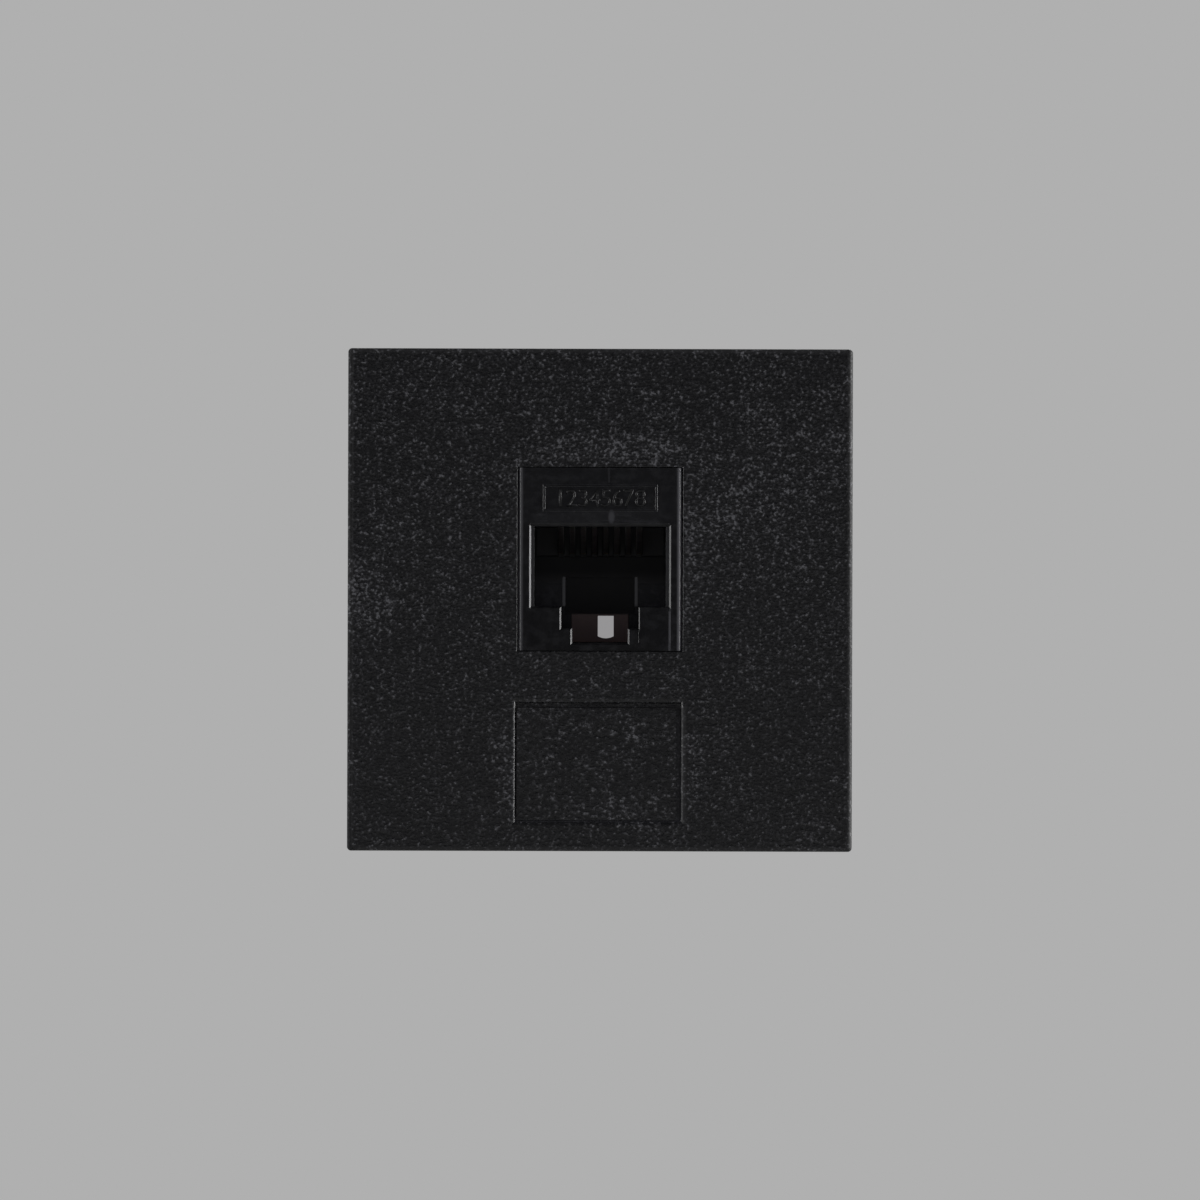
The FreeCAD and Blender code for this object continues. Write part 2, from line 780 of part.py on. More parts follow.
def block_arms():
    """Two arms that reach into the housing's sleeve, each with a bump that snaps into a window."""
    found = []
    y = (body_depth + board_gap, block_front)
    z = (board_top + fit_gap, board_top + arm_block_height)
    middle = body_depth + sleeve_length / 2
    bump_y = around(middle, bump_length)
    for side in (-1, 1):
        x = sorted((side * (arm_outer - arm_block), side * arm_outer))
        found.append(box(x, y, z))
        outline = [(arm_outer, bump_y[0]), (arm_outer + bump_height, bump_y[1]), (arm_outer, bump_y[1])]
        points = [(side * px, py) for px, py in outline]
        found.append(prism_z(points, around(window_level, bump_width)))
    return found


def idc_block():
    """Terminal block with two rows of wire towers."""
    body = round_rear_corners(prism_y(block_section(), (block_front, block_rear)))
    body = body.cut(end_cuts() + tower_cuts() + strap_recesses())
    return body.fuse(block_arms() + strap_bumps()).removeSplitter()


def idc_terminal(index):
    """Forked blade that cuts into one wire, with a pin into the board."""
    side = -1 if index < idc_per_row else 1
    y = idc_y(index % idc_per_row)
    top = tower_top - blade_setback
    slit_end = top - blade_slit_depth
    half = [(blade_width / 2, top), (blade_width / 2, board_top + fit_gap)]
    half += [(pin_width / 2, board_top + fit_gap), (pin_width / 2, board_bottom - tail_stub)]
    left = mirrored(half[::-1])
    fork = [(-blade_slit / 2 - blade_mouth, top), (-blade_slit / 2, top - blade_mouth)]
    fork += [(-blade_slit / 2, slit_end)]
    outline = half + left + fork + mirrored(fork[::-1])
    points = [(y + across, z) for across, z in outline]
    return prism_x(points, around(side * row_spacing / 2, blade_thickness))


def base_cover():
    """Tray under the board, open in front, with side tongues that reach into the sleeve."""
    rebate = rear_width / 2 - cover_wall
    ledge = rebate - cover_ledge
    floor = jack_bottom + sleeve_floor
    half = [(rebate, board_top), (rebate, board_bottom), (ledge, board_bottom), (ledge, floor)]
    trough = prism_y(half + mirrored(half[::-1]), (block_front, block_rear - cover_rear_wall))
    shell = prism_y(rear_outline(jack_bottom, board_top), (block_front, block_rear))
    body = round_rear_corners(shell).cut(trough)
    tongue_y = (body_depth + board_gap, block_front)
    tongue_z = (floor + fit_gap, board_bottom)
    reach = sleeve_inner - fit_gap
    tongues = [box(sorted((side * ledge, side * reach)), tongue_y, tongue_z) for side in (-1, 1)]
    notch_y = (block_rear - cover_rear_wall, block_rear)
    notch = box(around(peep_offset, cover_notch_width), notch_y, (floor, board_bottom))
    return body.fuse(tongues + straps()).cut(notch).removeSplitter()


def wire_cap(side):
    """Cap over one row of towers, with comb walls and pushers that seat the wires."""
    middle = side * row_spacing / 2
    wide = tower_width + 2 * (cap_gap + cap_wall)
    low = deck + fit_gap
    ceiling = tower_top + cap_gap
    top = ceiling + cap_top
    y = (block_front, block_rear)
    body = box(around(middle, wide), y, (low, top))
    body = round_rear_corners(body)
    crown = [edge for edge in body.Edges if abs(edge.BoundBox.ZMin - top) < TOUCH]
    body = body.makeFillet(cap_edge_radius, crown)
    inside_y = (y[0] + cap_wall, y[1] - cap_wall)
    inside = box(around(middle, tower_width + 2 * cap_gap), inside_y, (low, ceiling))
    notches = []
    pushers = []
    clear = blade_thickness / 2 + cap_gap
    for index in range(idc_per_row):
        notch_y = around(idc_y(index), cap_notch)
        notches.append(box(around(middle, wide), notch_y, (low, low + cap_notch_height)))
        for x in ((-tower_width / 2, -clear), (clear, tower_width / 2)):
            limits = (middle + x[0], middle + x[1])
            pusher_y = around(idc_y(index), pusher_width)
            pushers.append(box(limits, pusher_y, (ceiling - pusher_length, ceiling)))
    return body.cut([inside] + notches).fuse(pushers).removeSplitter()


def in_place(shape):
    """Moves one of the jack's pieces to its place in the faceplate."""
    moved = shape.copy()
    moved.translate(Vector(0, jack_y, port_rise))
    return moved


def all_pieces():
    """Every piece by its name."""
    pieces = {"front_plate": front_plate(), "label_insert": label_insert()}
    jack = {"jack_housing": jack_housing(), "contact_carrier": contact_carrier()}
    for index in range(contact_count):
        jack[f"contact_{index + 1}"] = spring_contact(index)
    jack["circuit_board"] = circuit_board()
    jack["idc_block"] = idc_block()
    for index in range(2 * idc_per_row):
        jack[f"idc_terminal_{index + 1}"] = idc_terminal(index)
    jack["base_cover"] = base_cover()
    jack["wire_cap_left"] = wire_cap(-1)
    jack["wire_cap_right"] = wire_cap(1)
    for name, shape in jack.items():
        pieces[name] = in_place(shape)
    return pieces


os.makedirs("parts", exist_ok=True)
for name, shape in all_pieces().items():
    shape.exportStep(f"parts/{name}.step")
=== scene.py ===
import math

import bmesh
import bpy
from bpy.props import FloatProperty, FloatVectorProperty, IntProperty, PointerProperty
from mathutils import Matrix, Vector


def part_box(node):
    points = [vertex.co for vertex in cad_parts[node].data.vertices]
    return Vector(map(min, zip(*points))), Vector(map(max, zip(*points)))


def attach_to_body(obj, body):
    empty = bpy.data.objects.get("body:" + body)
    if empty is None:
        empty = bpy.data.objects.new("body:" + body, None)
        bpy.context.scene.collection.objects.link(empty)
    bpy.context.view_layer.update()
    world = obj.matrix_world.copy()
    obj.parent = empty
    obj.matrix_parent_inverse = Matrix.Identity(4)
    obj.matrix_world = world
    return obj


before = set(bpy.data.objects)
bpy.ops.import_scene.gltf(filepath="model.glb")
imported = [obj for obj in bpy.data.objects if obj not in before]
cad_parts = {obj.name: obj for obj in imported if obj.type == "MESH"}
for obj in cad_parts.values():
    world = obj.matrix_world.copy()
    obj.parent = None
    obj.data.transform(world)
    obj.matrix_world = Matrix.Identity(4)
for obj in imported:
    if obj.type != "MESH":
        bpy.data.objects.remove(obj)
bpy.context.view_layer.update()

bl_info = {
    "name": "Ethernet Socket Module",
    "version": (1, 0, 0),
    "blender": (4, 5, 0),
    "location": "View3D > Sidebar > Socket Module",
    "description": "Finishes and stage for a snap-in faceplate with a keystone network jack",
    "category": "Object",
}

# The frame is in metres; the materials count in millimetres.
MM = 0.001

CONTACTS = [f"contact_{number}" for number in range(1, 9)]
TERMINALS = [f"idc_terminal_{number}" for number in range(1, 9)]
MOULDED_JACK = ["jack_housing", "contact_carrier", "idc_block", "base_cover"]

# Patches where the plate's painted glints are brighter: middle across and up, reach across and up, strength.
GLINTING_PATCHES = [
    (-1.8, 13.5, 4.8, 2.0, 0.7),
    (3.8, 13.4, 4.6, 2.0, 0.85),
    (13.4, 10.0, 9.5, 9.0, 0.3),
    (9.6, 7.4, 4.5, 2.4, 0.5),
    (8.0, 2.5, 1.3, 7.0, 0.5),
    (20.5, 15.0, 3.0, 6.0, 0.3),
    (-20.6, 0.2, 3.2, 4.5, 0.85),
    (-18.5, 6.1, 3.0, 3.0, 0.35),
    (-8.1, 10.8, 1.6, 2.2, 0.5),
    (-8.3, -14.5, 1.5, 6.5, 0.65),
    (8.0, -15.0, 2.0, 5.0, 0.5),
    (2.5, -18.9, 5.5, 2.4, 0.6),
]

# Places with a finish of their own, in millimetres: each soft step has its axis, its start and its full end.
# "side" counts from the middle to the left and right, "ring" from the middle to all four edges.
PLATE_PLACES = {
    "bezel": [("y", -0.02, -0.1)],
    "gaps": [("y", -5.4, -5.3), ("ring", 20.6, 20.4)],
    "outer_rim": [("ring", 21.9, 22.2)],
    "left_rim": [("x", -21.4, -21.9)],
    "label_top": [("z", -10.45, -10.25), ("z", -9.05, -9.25)],
    "label_foot": [("z", -19.3, -19.5)],
    "label_right": [("x", 6.85, 6.95), ("x", 7.75, 7.65), ("z", -9.4, -9.6), ("z", -20.0, -19.8)],
}
JACK_PLACES = {
    "behind_face": [("y", -4.5, -2.0)],
    "rear": [("y", 8.0, 8.4)],
}
FRONT_PLACES = {
    "face": [("y", -5.2, -5.4)],
    "thin_wall": [("side", 2.7, 2.5), ("y", 7.2, 7.4), ("y", 8.4, 8.2), ("z", -1.2, -1.4)],
    "recess": [("side", 3.3, 3.2), ("y", 7.2, 7.4), ("y", 8.4, 8.2), ("z", -1.3, -1.2)],
    "comb": [("side", 5.86, 5.8), ("y", -2.7, -2.6), ("z", 3.9, 4.0)],
    "lever_way": [("z", -3.7, -3.8)],
    "end_wall": [("y", 6.7, 6.8), ("y", 6.885, 6.875), ("z", 1.2, 2.8)],
    "ears": [("side", 3.4, 3.6), ("y", 6.7, 6.8), ("y", 6.885, 6.875), ("z", 1.8, 0.6)],
    "nose_bevels": [("side", 3.12, 3.16), ("side", 3.5, 3.46), ("y", 6.875, 6.885), ("y", 7.0, 6.96)],
    "weld": [("x", 0.65, 0.73), ("x", 0.89, 0.81), ("z", 10.3, 10.6)],
    "bar": [("z", 6.0, 7.0)],
    "band": [("side", 6.2, 5.0), ("z", 6.5, 6.8), ("z", 8.1, 7.8)],
    "step_highlight": [("x", 6.06, 6.14), ("x", 6.34, 6.26), ("z", -0.9, -1.1)],
    "left_wall_light": [("x", -6.34, -6.3), ("x", -6.12, -6.16), ("z", -0.8, -0.6), ("z", 6.6, 6.4)],
    "mark_flanks": [("y", -5.535, -5.55), ("y", -5.61, -5.595)],
    "corners": [("side", 6.75, 7.0), ("y", -4.7, -4.9)],
    "right_half": [("x", -1.0, 1.0)],
    "crack_light": [("side", 7.1, 7.28), ("y", -3.5, -4.5)],
}

# Small blemish on the bar over the jack's mouth: its middle and its reach, across and up.
KNOT_MIDDLE = (1.0, 7.4)
KNOT_REACH = (0.36, 0.75)

# How many times paler than the plain plastic its places are. On the plate the gap walls, and on the jack the
# number flanks, the side fillets, the ears, the cracks and two of the lines, are paler as painted light or
# painted highlights.
PLATE_PALENESS = {"smooth": 4.0, "gap_light": 25.0}
JACK_PALENESS = {
    "hollows": 0.1,
    "flow": 2.2,
    "behind_face": 4.0,
    "paler_bands": 5.0,
    "mark_flanks": 13.0,
    "corners": 15.0,
    "lines": 20.0,
    "ears": 26.0,
    "crack_light": 40.0,
}

# Soft lights: the setting with their power, then width, height and place in metres.
LIGHTS = {
    "right_light": ("right_power", 0.2, 0.4, (0.36, -0.025, 0.0)),
    "left_light": ("left_power", 0.2, 0.4, (-0.36, -0.025, 0.0)),
    "rear_right_light": ("rear_power", 0.3, 0.3, (0.25, 0.6, 0.35)),
    "rear_left_light": ("rear_power", 0.3, 0.3, (-0.3, 0.6, 0.15)),
}


def length(name, description, millimetres, **limits):
    """Length property that is given in millimetres and kept in metres."""
    return FloatProperty(name=name, description=description, default=millimetres * MM, unit="LENGTH",
                         precision=5, **limits)


def colour(name, description, default):
    """Linear colour property."""
    return FloatVectorProperty(name=name, description=description, default=default, subtype="COLOR",
                               size=3, min=0.0, max=1.0)


class PlateSettings(bpy.types.PropertyGroup):
    """Finish of the faceplate and its label."""

    tone: colour("Tone", "Colour of the plastic in the pits of the grain", (0.002, 0.002, 0.0022))
    # The glint tone is a painted highlight: the grain's glints are laid into the base colour.
    glint_tone: colour("Glint tone", "Colour of the polished peaks of the grain", (0.11, 0.11, 0.117))
    grain_size: length("Grain size", "Distance between the peaks of the spark-eroded grain", 0.265)
    grain_depth: length("Grain depth", "Height of the grain", 0.07)
    # The clumps and the broad drift patches gather more of the painted glints.
    clump_size: length("Clump size", "Size of the clumps in which the grain is denser", 2.2)
    drift_size: length("Drift size", "Size of the broad patches that are a little more polished", 7.0)
    hollow_width: length("Hollow width", "Width of the smooth hollow behind the front wall", 41.0)
    hollow_height: length("Hollow height", "Height of the smooth hollow behind the front wall", 39.0)
    wall: length("Front wall", "Thickness of the front wall", 2.0)
    bezel_depth: length("Bezel depth", "Depth of the grained bezel in front of the seat", 5.5)


class JackSettings(bpy.types.PropertyGroup):
    """Finish of the jack's smooth mouldings."""

    tone: colour("Tone", "Colour of the smooth plastic", (0.0036, 0.0036, 0.0039))
    # The thin wall tone is painted light: light from behind shining through the wall.
    thin_tone: colour("Thin wall tone", "Colour of the thin wall that lets some light through",
                      (0.54, 0.365, 0.325))
    edge_radius: length("Edge radius", "Softness of the moulded edges", 0.03)
    flow_size: length("Flow size", "Distance between the upright flow lines", 0.9)
    cloud_size: length("Cloud size", "Size of the clouds of uneven gloss", 4.0)
    peel_size: length("Peel size", "Distance between the waves of the surface", 0.7)
    peel_depth: length("Peel depth", "Height of the waves of the surface", 0.0012)
    mottle_size: length("Mottle size", "Size of the mottling on the face", 0.8)


class MetalSettings(bpy.types.PropertyGroup):
    """Finish of the contacts, the terminals and the board."""

    # The springs' gold is greyed and darkened as painted shade of the jack's dark mouth.
    gold: colour("Gold", "Colour of the plated springs", (0.39, 0.375, 0.355))
    stained_gold: colour("Stained gold", "Colour of the stains on the springs", (0.32, 0.305, 0.29))
    # The tip colour is a painted glint on the springs' lower bends.
    tip_gold: colour("Tip gold", "Colour of the springs' tips", (0.6, 0.5, 0.36))
    tinned: colour("Tinned tails", "Colour of the springs' tails", (0.55, 0.54, 0.52))
    tin: colour("Tin", "Colour of the terminals", (0.62, 0.61, 0.59))
    dull_tin: colour("Dull tin", "Colour of the terminals' dull patches", (0.46, 0.45, 0.43))
    pad: colour("Pads", "Colour of the board's pads", (0.6, 0.59, 0.57))
    coat: colour("Coat", "Colour of the board's coat", (0.012, 0.075, 0.032))
    thin_coat: colour("Thin coat", "Colour of the coat where it is thin", (0.018, 0.11, 0.048))
    glass: colour("Glass", "Colour of the glass cloth at the board's edges", (0.16, 0.17, 0.07))
    pale_glass: colour("Pale glass", "Colour of the threads in the glass cloth", (0.3, 0.29, 0.14))
    pad_radius: length("Pad radius", "Reach of the pad round a pin", 0.95)
    pin_inset: length("Pin inset", "From the back of a contact to the middle of its pin", 0.17)


class MarkingSettings(bpy.types.PropertyGroup):
    """Contact numbers inside the raised outline on the jack's face."""

    rise: length("Rise", "Height of the outline and the numbers over the face", 0.08)
    digit_height: length("Digit height", "Height of the contact numbers", 1.6)
    bevel: FloatProperty(name="Bevel", description="Bevel of a number's edge, for letters of size 1",
                         default=0.043, precision=3, min=0.0)
    thinning: FloatProperty(name="Thinning", description="How far a stroke is thinned, for letters of size 1",
                            default=0.03, precision=3, min=0.0)


class EjectorSettings(bpy.types.PropertyGroup):
    """Rings that the mould's ejector pins leave on the back of the front wall."""

    columns: IntProperty(name="Columns", description="Rings across the plate", default=2, min=2)
    rows: IntProperty(name="Rows", description="Rings up the plate", default=3, min=2)
    spacing_across: length("Spacing across", "Distance between the columns", 29.2)
    spacing_up: length("Spacing up", "Distance between the rows", 13.5)
    radius: length("Radius", "Radius of a ring", 1.25)
    rim: length("Rim", "Thickness of a ring's rim", 0.05)


class StageSettings(bpy.types.PropertyGroup):
    """Camera, lights, backdrop and floor."""

    backdrop: colour("Backdrop", "Colour behind the module", (0.434, 0.434, 0.434))
    shade: colour("Shaded backdrop", "Colour of the backdrop in the module's own shade", (0.295, 0.29, 0.296))
    room: colour("Room", "Light from the darker room in front of the module", (0.083, 0.083, 0.095))
    flank: colour("Flanks", "Light from the paler walls of the room beside the camera", (0.49, 0.49, 0.53))
    camera_roll: FloatProperty(name="Camera roll", description="Turn of the camera about its line of sight",
                               default=math.radians(-0.16), subtype="ANGLE")
    camera_distance: length("Camera distance", "From the camera to the plate's face", 450.0)
    picture_width: length("Picture width", "Width of the picture at the plate's face", 106.9)
    right_power: FloatProperty(name="Right light", description="Power of the soft light on the right",
                               default=2.5, unit="POWER", min=0.0)
    left_power: FloatProperty(name="Left light", description="Power of the soft light on the left",
                              default=1.35, unit="POWER", min=0.0)
    rear_power: FloatProperty(name="Rear light", description="Power of each soft light behind the module",
                              default=1.3, unit="POWER", min=0.0)
    floor_drop: length("Floor drop", "From the module's middle down to the floor", 100.0)
    floor_radius: length("Floor radius", "Radius of the floor", 900.0)
    floor_tone: colour("Floor", "Colour of the floor", (0.35, 0.35, 0.35))
    floor_fleck: colour("Floor flecks", "Colour of the flecks in the floor", (0.38, 0.38, 0.38))


class SocketModuleSettings(bpy.types.PropertyGroup):
    """All settings of the socket module."""

    plate: PointerProperty(type=PlateSettings)
    jack: PointerProperty(type=JackSettings)
    metal: PointerProperty(type=MetalSettings)
    marking: PointerProperty(type=MarkingSettings)
    ejector: PointerProperty(type=EjectorSettings)
    stage: PointerProperty(type=StageSettings)


class Value:
    """A shader socket: an expression on it adds Math nodes to its tree."""

    def __init__(self, tree, socket):
        self.tree = tree
        self.socket = socket

    def math(self, operation, *operands):
        node = self.tree.nodes.new("ShaderNodeMath")
        node.operation = operation
        for socket, operand in zip(node.inputs, operands):
            attach(self.tree, socket, operand)
        return Value(self.tree, node.outputs[0])

    def also(self, output):
        """Another output of the same node."""
        return Value(self.tree, self.socket.node.outputs[output])

    def most(self, other):
        return self.math("MAXIMUM", self, other)

    def __add__(self, other):
        return self.math("ADD", self, other)

    __radd__ = __add__

    def __sub__(self, other):
        return self.math("SUBTRACT", self, other)

    def __rsub__(self, other):
        return self.math("SUBTRACT", other, self)

    def __mul__(self, other):
        return self.math("MULTIPLY", self, other)

    __rmul__ = __mul__

    def __truediv__(self, other):
        return self.math("DIVIDE", self, other)

    def __rpow__(self, other):
        return self.math("POWER", other, self)

    def __abs__(self):
        return self.math("ABSOLUTE", self)


def attach(tree, socket, value):
    """Links a shader value to a socket, or sets the socket to a plain number or colour."""
    if isinstance(value, Value):
        tree.links.new(value.socket, socket)
    else:
        socket.default_value = value


class NodeBook:
    """Adds nodes to the tree of one material or of the world."""

    def __init__(self, owner):
        owner.use_nodes = True
        self.tree = owner.node_tree
        self.tree.nodes.clear()

    def node(self, kind, settings, sockets, output=0):
        """Adds a node: its settings first, then the values or links of its sockets."""
        made = self.tree.nodes.new(kind)
        for name, value in settings.items():
            setattr(made, name, value)
        for key, value in sockets.items():
            attach(self.tree, made.inputs[key], value)
        if made.outputs:
            return Value(self.tree, made.outputs[output])
        return None

    def position(self):
        """Place on the piece in millimetres."""
        place = self.node("ShaderNodeTexCoord", {}, {}, "Object")
        return self.node("ShaderNodeVectorMath", {"operation": "SCALE"}, {"Vector": place, "Scale": 1 / MM})

    def axes(self, vector):
        """The three coordinates of a vector."""
        x = self.node("ShaderNodeSeparateXYZ", {}, {"Vector": vector}, "X")
        return x, x.also("Y"), x.also("Z")

    def stretch(self, vector, factors):
        """A vector with its axes multiplied, so that a pattern is drawn out along one of them."""
        return self.node("ShaderNodeVectorMath", {"operation": "MULTIPLY"}, {0: vector, 1: factors})

    def distance(self, vector):
        """Length of a vector."""
        return self.node("ShaderNodeVectorMath", {"operation": "LENGTH"}, {0: vector}, "Value")

    def noise(self, vector, size, detail=0.0, roughness=0.5):
        """Smooth noise from 0 to 1 with patches of about one size in millimetres."""
        sockets = {"Vector": vector, "Scale": 1 / size, "Detail": detail, "Roughness": roughness}
        return self.node("ShaderNodeTexNoise", {}, sockets, "Fac")

    def ramp(self, value, low, high):
        """Soft step from 0 at low to 1 at high; low may be the larger."""
        sockets = {"Value": value, "From Min": low, "From Max": high}
        return self.node("ShaderNodeMapRange", {"interpolation_type": "SMOOTHSTEP"}, sockets, "Result")

    def patch(self, across, up, middle, reach):
        """Soft spot that fades from 1 at its middle to 0 at its reach."""
        offset_across = (across - middle[0]) / reach[0]
        offset_up = (up - middle[1]) / reach[1]
        return self.ramp(offset_across * offset_across + offset_up * offset_up, 1.0, 0.0)

    def places(self, table, place):
        """Mask of each place in a table: the product of its soft steps."""
        x, y, z = self.axes(place)
        axes = {"x": x, "y": y, "z": z, "side": abs(x), "ring": abs(x).most(abs(z))}
        masks = {}
        for name, steps in table.items():
            for axis, start, full in steps:
                step = self.ramp(axes[axis], start, full)
                masks[name] = masks[name] * step if name in masks else step
        return masks

    def blend(self, factor, low, high):
        """Colour between two colours."""
        return self.node("ShaderNodeMix", {"data_type": "RGBA"}, {0: factor, 6: low, 7: high}, 2)

    def bump(self, height, depth, normal=None):
        """Normal of a relief of a depth in millimetres."""
        sockets = {"Height": height, "Distance": depth * MM}
        if normal:
            sockets["Normal"] = normal
        return self.node("ShaderNodeBump", {}, sockets)

    def soft_edges(self, radius):
        """Normal with the edges rounded off."""
        return self.node("ShaderNodeBevel", {"samples": 4}, {"Radius": radius})

    def surface(self, sockets):
        """Finishes a material with one shader."""
        shader = self.node("ShaderNodeBsdfPrincipled", {}, sockets)
        self.node("ShaderNodeOutputMaterial", {}, {"Surface": shader})


def opaque(tone, paleness=1.0):
    """Colour for a shader socket, made paler or darker."""
    return (*(paleness * part for part in tone), 1.0)


def dress(nodes, material):
    """Gives CAD nodes their material."""
    for name in nodes:
        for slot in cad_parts[name].material_slots:
            slot.material = material


def in_hollow(book, settings, place):
    """Mask of the smooth hollow behind the front wall."""
    x, y, z = book.axes(place)
    soft = 0.05
    side = settings.hollow_width / 2 / MM
    top = settings.hollow_height / 2 / MM
    back_of_wall = (settings.wall - settings.bezel_depth) / MM
    across = book.ramp(abs(x), side + soft, side)
    up = book.ramp(abs(z), top + soft, top)
    return across * up * book.ramp(y, back_of_wall - 2 * soft, back_of_wall - soft)


def plate_material(settings):
    """Black plastic with a spark-eroded grain on the faces that stay in view, with painted glints on the
    grain and painted light on the walls of the gaps.
    """
    material = bpy.data.materials.new("textured_plastic")
    book = NodeBook(material)
    place = book.position()
    x, _, z = book.axes(place)
    at = book.places(PLATE_PLACES, place)
    grained = at["bezel"] * (1 - in_hollow(book, settings, place))
    # Painted light on the walls of the port and the label window, kept off under the label's top edge.
    gap_light_mask = at["gaps"] * grained * (1 - at["label_top"])

    size = settings.grain_size / MM
    grain = book.stretch(place, (0.9, 1.0, 1.1))
    peaks = book.noise(grain, size, detail=2.0, roughness=0.6)
    pits = book.noise(grain, size * 2.6, detail=1.0)
    polish = book.noise(book.stretch(place, (1.0, -1.0, 1.0)), size * 0.9)
    clump = book.ramp(book.noise(place, settings.clump_size / MM, detail=3.0, roughness=0.6), 0.38, 0.62)
    drift = book.noise(place, settings.drift_size / MM, detail=2.0)
    glinting = book.ramp(drift, 0.5, 0.75) * 0.2
    for across, up, reach_across, reach_up, strength in GLINTING_PATCHES:
        glinting = glinting + book.patch(x, z, (across, up), (reach_across, reach_up)) * strength
    # Painted glints: the base colour rises steeply on the grain's peaks, more in the clumps and glinting
    # patches, and fades towards the bottom as painted shade.
    height = peaks - 0.5 + (pits - 0.5) * 0.3 + glinting * 0.045
    share = (0.023 + 0.02 * clump + 0.035 * glinting) * (1 + 0.011 * z)
    glint = share * 2 ** (height * 23.0) * grained
    dimple = book.ramp(polish, 0.58, 0.7) * (0.4 + 0.6 * clump) * grained

    smooth = opaque(settings.tone, PLATE_PALENESS["smooth"])
    tone = book.blend(grained, smooth, opaque(settings.tone))
    # Painted light in the gaps, strongest on the lit foot of the label window.
    gap_light = gap_light_mask * 0.3 + gap_light_mask * at["label_foot"] * 0.7
    tone = book.blend(gap_light, tone, opaque(settings.tone, PLATE_PALENESS["gap_light"]))
    # Lays the painted glints over the plastic's tone.
    tone = book.blend(glint, tone, opaque(settings.glint_tone))
    dull = at["outer_rim"] * (0.35 + 0.3 * at["left_rim"]) + 0.25 * at["label_right"]
    relief = book.bump((peaks * 0.75 + pits * 0.25) * grained, settings.grain_depth / MM)
    book.surface({
        "Base Color": tone,
        "Roughness": 0.4 - 0.1 * grained - 0.16 * dimple + dull,
        "Specular IOR Level": 0.5,
        "Normal": relief,
    })
    return material


def front_tone(book, settings, place, cloud, tone, at):
    """Tone of the jack's front housing: thin wall, mottled face, moulding marks, and painted light and
    painted highlights on its edges, ears and cracks.
    """
    def paler(mask, name):
        """The tone so far with a paler place laid over it."""
        return book.blend(mask, tone, opaque(settings.tone, JACK_PALENESS[name]))

    x, _, z = book.axes(place)
    size = settings.mottle_size / MM
    mottle = book.noise(book.stretch(place, (0.7, 1.0, 1.0)), size, detail=3.0, roughness=0.65)
    mottle = book.ramp(mottle, 0.42, 0.68)
    streak = book.ramp(book.noise(book.stretch(place, (0.25, 1.0, 2.0)), size, detail=2.0), 0.45, 0.75)
    knot = book.patch(x, z, KNOT_MIDDLE, KNOT_REACH)
    # The weld line, a band and the bar over the mouth, and the mottling, are made paler.
    paler_bands = at["weld"] * 0.8 + at["band"] * (0.2 + 0.6 * streak)
    paler_bands = paler_bands + at["bar"] * (0.12 + 0.12 * cloud) + mottle * 0.35
    # The knot is a blemish. The line at the right is a painted highlight of a small step on the face, and the
    # one at the left is painted light on the mouth's left wall.
    lines = (knot * 0.6).most(at["step_highlight"] * 0.7).most(at["left_wall_light"])
    # Painted light through the thin wall.
    tone = book.blend(at["thin_wall"] * (0.7 + 0.3 * cloud), tone, opaque(settings.thin_tone))
    tone = paler((1 - mottle) * at["face"] * 0.8, "hollows")
    tone = paler(paler_bands * at["face"], "paler_bands")
    tone = paler(lines * at["face"], "lines")
    # Painted light on the ears of the far end wall inside the mouth.
    tone = paler(at["ears"] * (0.25 + 0.6 * mottle), "ears")
    # Painted highlight on the sloped sides of the raised numbers.
    tone = paler(at["mark_flanks"], "mark_flanks")
    # Painted highlight on the jack's side fillets, stronger on the right half, where the stronger lamp
    # stands.
    tone = paler(at["corners"] * (0.4 + 0.6 * at["right_half"]), "corners")
    # Painted light on the walls of the cracks between the jack and the plate.
    return paler(at["crack_light"], "crack_light")


def jack_material(name, settings, rear=False):
    """Black satin plastic with faint flow lines and softened edges."""
    material = bpy.data.materials.new(name)
    book = NodeBook(material)
    place = book.position()
    at = book.places(JACK_PLACES, place)
    flow = book.noise(book.stretch(place, (1.0, 1.0, 0.18)), settings.flow_size / MM, detail=2.0)
    cloud = book.noise(place, settings.cloud_size / MM, detail=2.0)
    peel = book.noise(place, settings.peel_size / MM)
    matt = at["rear"] * 0.6
    lighter = book.ramp(flow, 0.45, 0.8) * 0.35 + book.ramp(cloud, 0.4, 0.75) * 0.25
    tone = book.blend(lighter, opaque(settings.tone), opaque(settings.tone, JACK_PALENESS["flow"]))
    tone = book.blend(at["behind_face"], tone, opaque(settings.tone, JACK_PALENESS["behind_face"]))
    if not rear:
        at = book.places(FRONT_PLACES, place)
        tone = front_tone(book, settings, place, cloud, tone, at)
        matt = matt + at["recess"] * 0.7 + at["end_wall"] * 1.1 + at["comb"] * 0.75
        matt = matt + at["lever_way"] * (1 - at["face"]) - at["nose_bevels"] * 0.35
    relief = book.bump(peel, settings.peel_depth / MM, book.soft_edges(settings.edge_radius))
    book.surface({
        "Base Color": tone,
        "Roughness": 0.14 + 0.1 * cloud + 0.06 * flow + 0.4 * matt,
        "Specular IOR Level": 0.5,
        "Normal": relief,
    })
    return material


